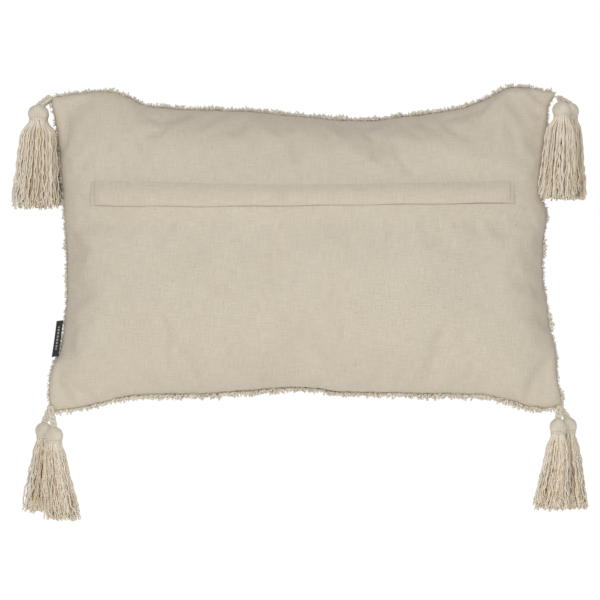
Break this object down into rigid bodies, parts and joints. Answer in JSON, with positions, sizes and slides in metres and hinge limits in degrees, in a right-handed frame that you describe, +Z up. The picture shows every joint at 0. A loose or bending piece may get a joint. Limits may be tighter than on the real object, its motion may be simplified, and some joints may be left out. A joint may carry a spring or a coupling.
{
  "type": "throw pillow",
  "caption": "Rectangular lumbar throw pillow with a shaggy tufted front, plain zipped canvas back, flap over the zip and tasselled corners.",
  "frame": {"origin": "the middle of the top seam, on the plane of the side seams, which is the spot that holds the pillow up", "axes": "+Z up as the pillow hangs, +X to the right of someone facing the zipped back, -Y out of the zipped back and +Y out of the tufted front"},
  "size_m": [0.598, 0.1473, 0.4477],
  "materials": {
    "cotton_canvas": "unbleached plain-weave cotton canvas",
    "tufted_cotton_pile": "shaggy cut cotton pile",
    "cotton_yarn": "plied cotton yarn",
    "twisted_cotton_cord": "twisted cotton cord",
    "inner_casing_cloth": "white spun-bonded cloth",
    "fibre_filling": "loose white polyester fibre",
    "zip_tape": "woven tape",
    "zip_coil": "moulded coil",
    "zip_metal": "plated zinc",
    "woven_label": "plain black woven tab"
  },
  "bodies": {
    "root": {"back_panel_lower": "cotton_canvas", "back_panel_upper": "cotton_canvas", "filling": "fibre_filling", "front_base_cloth": "cotton_canvas", "front_pile": "tufted_cotton_pile", "inner_casing_back": "inner_casing_cloth", "inner_casing_front": "inner_casing_cloth", "side_label": "woven_label", "zip_chain_lower": "zip_coil", "zip_chain_upper": "zip_coil", "zip_flap": "cotton_canvas", "zip_stop_bottom": "zip_metal", "zip_stop_top": "zip_metal", "zip_tape_lower": "zip_tape", "zip_tape_upper": "zip_tape"},
    "zip_slider": {"zip_slider": "zip_metal"},
    "zip_puller": {"zip_puller": "zip_metal"},
    "cord_top_left_back": {"loop_top_left_back": "twisted_cotton_cord"},
    "tassel_top_left_back": {"head_top_left_back": "cotton_yarn", "neck_tie_top_left_back": "cotton_yarn", "skirt_top_left_back": "cotton_yarn"},
    "cord_top_left_front": {"loop_top_left_front": "twisted_cotton_cord"},
    "tassel_top_left_front": {"head_top_left_front": "cotton_yarn", "neck_tie_top_left_front": "cotton_yarn", "skirt_top_left_front": "cotton_yarn"},
    "cord_top_right_back": {"loop_top_right_back": "twisted_cotton_cord"},
    "tassel_top_right_back": {"head_top_right_back": "cotton_yarn", "neck_tie_top_right_back": "cotton_yarn", "skirt_top_right_back": "cotton_yarn"},
    "cord_top_right_front": {"loop_top_right_front": "twisted_cotton_cord"},
    "tassel_top_right_front": {"head_top_right_front": "cotton_yarn", "neck_tie_top_right_front": "cotton_yarn", "skirt_top_right_front": "cotton_yarn"},
    "cord_bottom_left_back": {"loop_bottom_left_back": "twisted_cotton_cord"},
    "tassel_bottom_left_back": {"head_bottom_left_back": "cotton_yarn", "neck_tie_bottom_left_back": "cotton_yarn", "skirt_bottom_left_back": "cotton_yarn"},
    "cord_bottom_left_front": {"loop_bottom_left_front": "twisted_cotton_cord"},
    "tassel_bottom_left_front": {"head_bottom_left_front": "cotton_yarn", "neck_tie_bottom_left_front": "cotton_yarn", "skirt_bottom_left_front": "cotton_yarn"},
    "cord_bottom_right_back": {"loop_bottom_right_back": "twisted_cotton_cord"},
    "tassel_bottom_right_back": {"head_bottom_right_back": "cotton_yarn", "neck_tie_bottom_right_back": "cotton_yarn", "skirt_bottom_right_back": "cotton_yarn"},
    "cord_bottom_right_front": {"loop_bottom_right_front": "twisted_cotton_cord"},
    "tassel_bottom_right_front": {"head_bottom_right_front": "cotton_yarn", "neck_tie_bottom_right_front": "cotton_yarn", "skirt_bottom_right_front": "cotton_yarn"}
  },
  "joints": [
    {"name": "zip_slide", "type": "hinge", "parent": "root", "child": "zip_slider", "pos_m": [0, 0.88585, -0.084], "axis": [0, 0, -1], "range_deg": [0, 24.43]},
    {"name": "puller_swing", "type": "hinge", "parent": "zip_slider", "child": "zip_puller", "pos_m": [0.20146, -0.04394, -0.084], "axis": [0.2118, -0.9773, 0], "range_deg": [-6, 6]},
    {"name": "cord_swing_top_left_back", "type": "hinge", "parent": "root", "child": "cord_top_left_back", "pos_m": [-0.267, -0.00409, 0.023], "axis": [-1, 0, 0], "range_deg": [0, 60]},
    {"name": "tassel_swing_top_left_back", "type": "hinge", "parent": "cord_top_left_back", "child": "tassel_top_left_back", "pos_m": [-0.279, -0.012, 0.01665], "axis": [0, 1, 0], "range_deg": [0, 60]},
    {"name": "cord_swing_top_left_front", "type": "hinge", "parent": "root", "child": "cord_top_left_front", "pos_m": [-0.267, 0.00742, 0.023], "axis": [1, 0, 0], "range_deg": [0, 60]},
    {"name": "tassel_swing_top_left_front", "type": "hinge", "parent": "cord_top_left_front", "child": "tassel_top_left_front", "pos_m": [-0.279, 0.015, 0.01765], "axis": [0, 1, 0], "range_deg": [0, 60]},
    {"name": "cord_swing_top_right_back", "type": "hinge", "parent": "root", "child": "cord_top_right_back", "pos_m": [0.267, -0.00409, 0.023], "axis": [-1, 0, 0], "range_deg": [0, 60]},
    {"name": "tassel_swing_top_right_back", "type": "hinge", "parent": "cord_top_right_back", "child": "tassel_top_right_back", "pos_m": [0.268, -0.019, 0.01965], "axis": [0, -1, 0], "range_deg": [0, 35]},
    {"name": "cord_swing_top_right_front", "type": "hinge", "parent": "root", "child": "cord_top_right_front", "pos_m": [0.267, 0.00742, 0.023], "axis": [1, 0, 0], "range_deg": [0, 60]},
    {"name": "tassel_swing_top_right_front", "type": "hinge", "parent": "cord_top_right_front", "child": "tassel_top_right_front", "pos_m": [0.28, 0.015, 0.02065], "axis": [0, -1, 0], "range_deg": [0, 60]},
    {"name": "cord_swing_bottom_left_back", "type": "hinge", "parent": "root", "child": "cord_bottom_left_back", "pos_m": [-0.267, -0.00408, -0.302], "axis": [-1, 0, 0], "range_deg": [0, 60]},
    {"name": "tassel_swing_bottom_left_back", "type": "hinge", "parent": "cord_bottom_left_back", "child": "tassel_bottom_left_back", "pos_m": [-0.262, -0.0105, -0.32035], "axis": [0, 1, 0], "range_deg": [-50, 40]},
    {"name": "cord_swing_bottom_left_front", "type": "hinge", "parent": "root", "child": "cord_bottom_left_front", "pos_m": [-0.267, 0.0074, -0.302], "axis": [1, 0, 0], "range_deg": [0, 60]},
    {"name": "tassel_swing_bottom_left_front", "type": "hinge", "parent": "cord_bottom_left_front", "child": "tassel_bottom_left_front", "pos_m": [-0.275, 0.0115, -0.31635], "axis": [0, 1, 0], "range_deg": [-24, 55]},
    {"name": "cord_swing_bottom_right_back", "type": "hinge", "parent": "root", "child": "cord_bottom_right_back", "pos_m": [0.267, -0.00408, -0.302], "axis": [-1, 0, 0], "range_deg": [0, 60]},
    {"name": "tassel_swing_bottom_right_back", "type": "hinge", "parent": "cord_bottom_right_back", "child": "tassel_bottom_right_back", "pos_m": [0.265, -0.0105, -0.31135], "axis": [0, -1, 0], "range_deg": [-50, 40]},
    {"name": "cord_swing_bottom_right_front", "type": "hinge", "parent": "root", "child": "cord_bottom_right_front", "pos_m": [0.267, 0.0074, -0.302], "axis": [1, 0, 0], "range_deg": [0, 60]},
    {"name": "tassel_swing_bottom_right_front", "type": "hinge", "parent": "cord_bottom_right_front", "child": "tassel_bottom_right_front", "pos_m": [0.278, 0.0115, -0.31135], "axis": [0, -1, 0], "range_deg": [-12, 55]}
  ]
}
